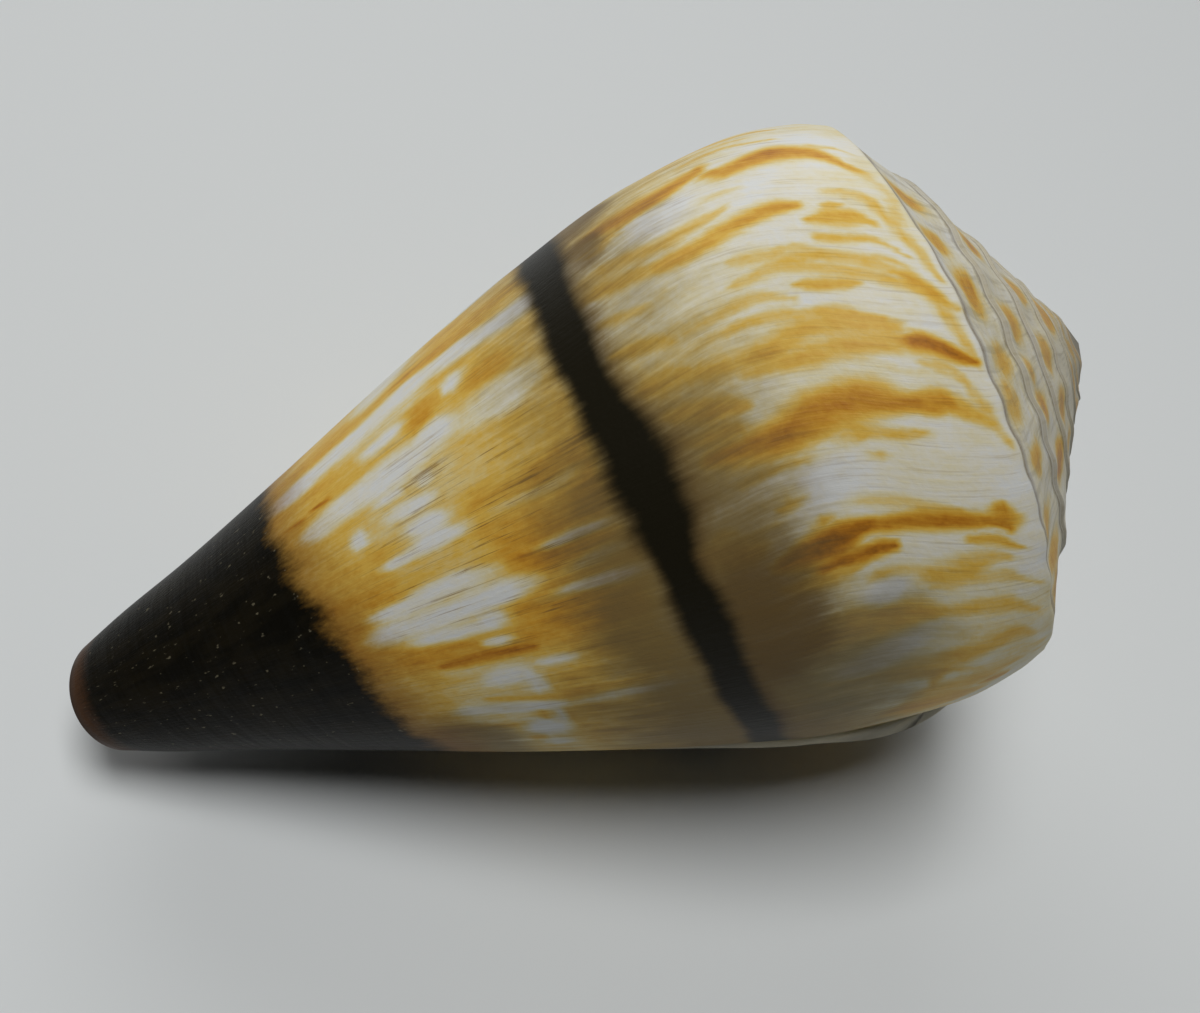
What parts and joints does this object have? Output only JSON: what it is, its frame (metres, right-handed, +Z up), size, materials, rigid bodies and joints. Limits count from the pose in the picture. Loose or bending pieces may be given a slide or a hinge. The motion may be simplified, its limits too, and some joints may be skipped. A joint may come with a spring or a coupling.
{
  "type": "cone shell",
  "caption": "Whole sea-snail shell, a tapered cone with a low stepped spire, a long narrow mouth and a thin lip, lying on its side.",
  "frame": {"origin": "centre of the bounding box in X and Y, on the table the shell rests on", "axes": "+X along the shell towards the apex of its spire, +Z up, -Y towards the side on which the lip lies"},
  "size_m": [0.082, 0.0492, 0.0519],
  "materials": {
    "shell": "glossy natural shell"
  },
  "bodies": {
    "root": {"shell": "shell"}
  },
  "joints": []
}
